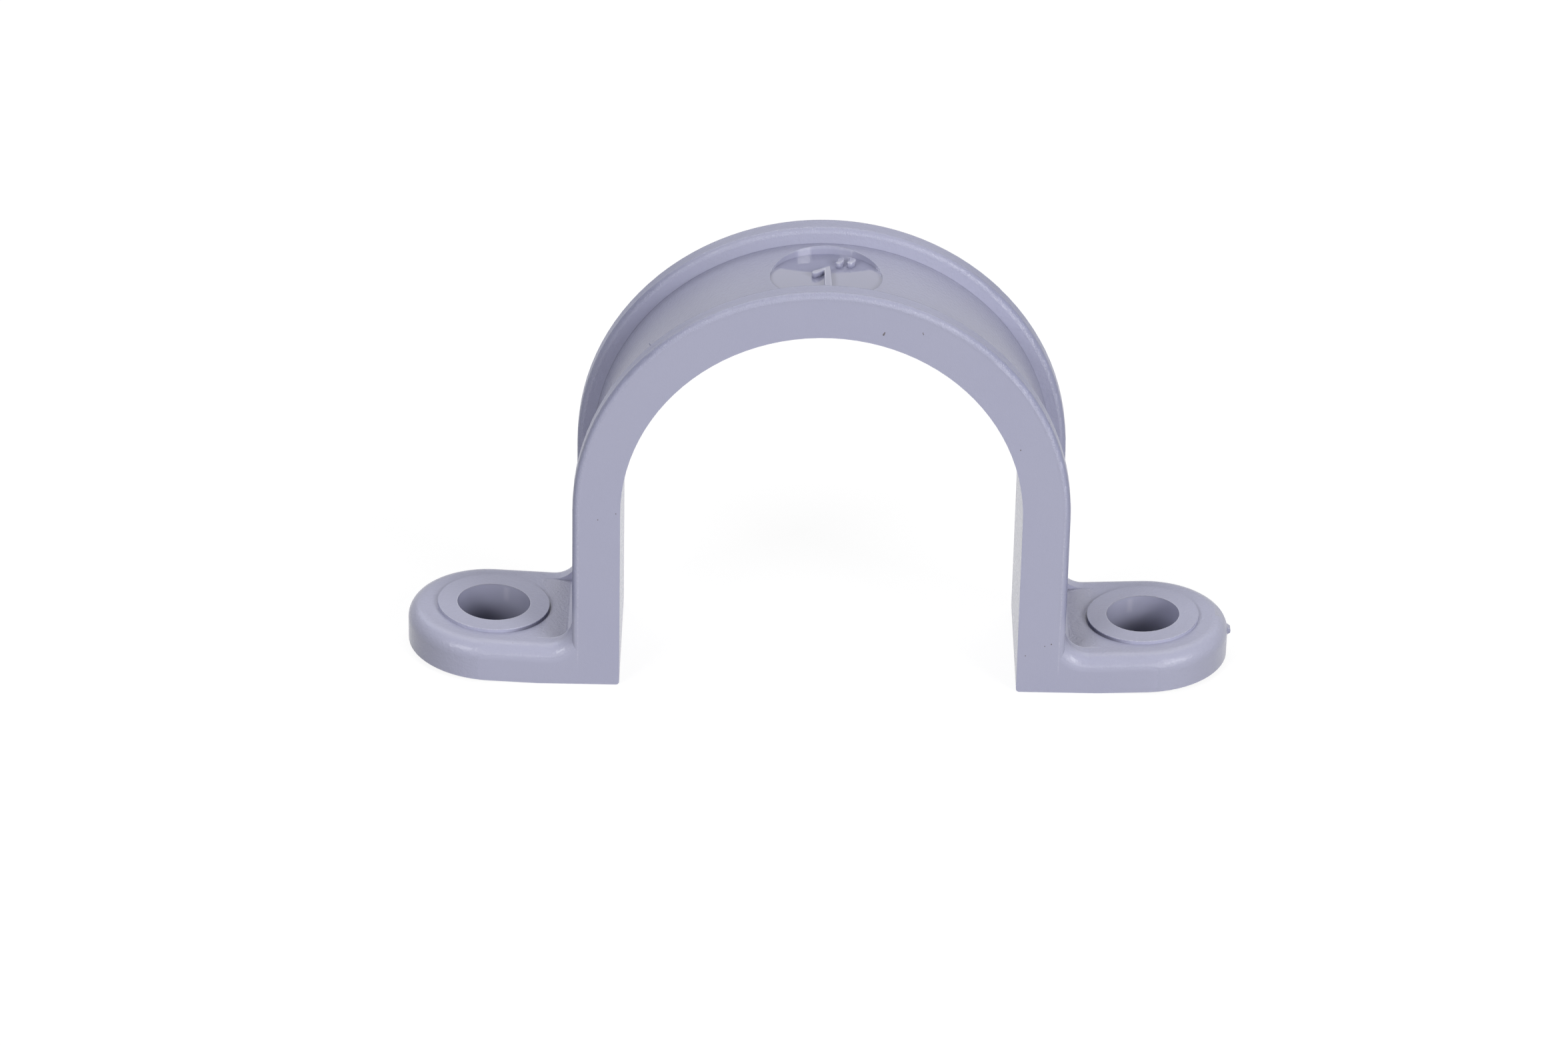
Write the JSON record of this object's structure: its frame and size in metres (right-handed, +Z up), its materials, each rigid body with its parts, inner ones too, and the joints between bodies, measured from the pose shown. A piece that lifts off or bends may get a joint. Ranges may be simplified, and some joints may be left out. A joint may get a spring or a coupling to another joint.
{
  "type": "pipe strap",
  "caption": "Moulded two-hole strap: an inverted U with a flanged channel section and a slightly raised foot at each side, which holds one pipe down on a flat surface.",
  "frame": {"origin": "on the plane that the legs stand on, midway between the two screw holes, under the middle of the saddle", "axes": "+X through the screw holes towards the foot with the trimmed gate, +Y along the pipe, +Z up, away from the surface it is screwed to"},
  "size_m": [0.0711, 0.0144, 0.0377],
  "materials": {
    "pvc": "satin moulded PVC, lilac grey, with a fine grain; polished floor in the round panel"
  },
  "bodies": {
    "root": {"strap": "pvc"}
  },
  "joints": []
}
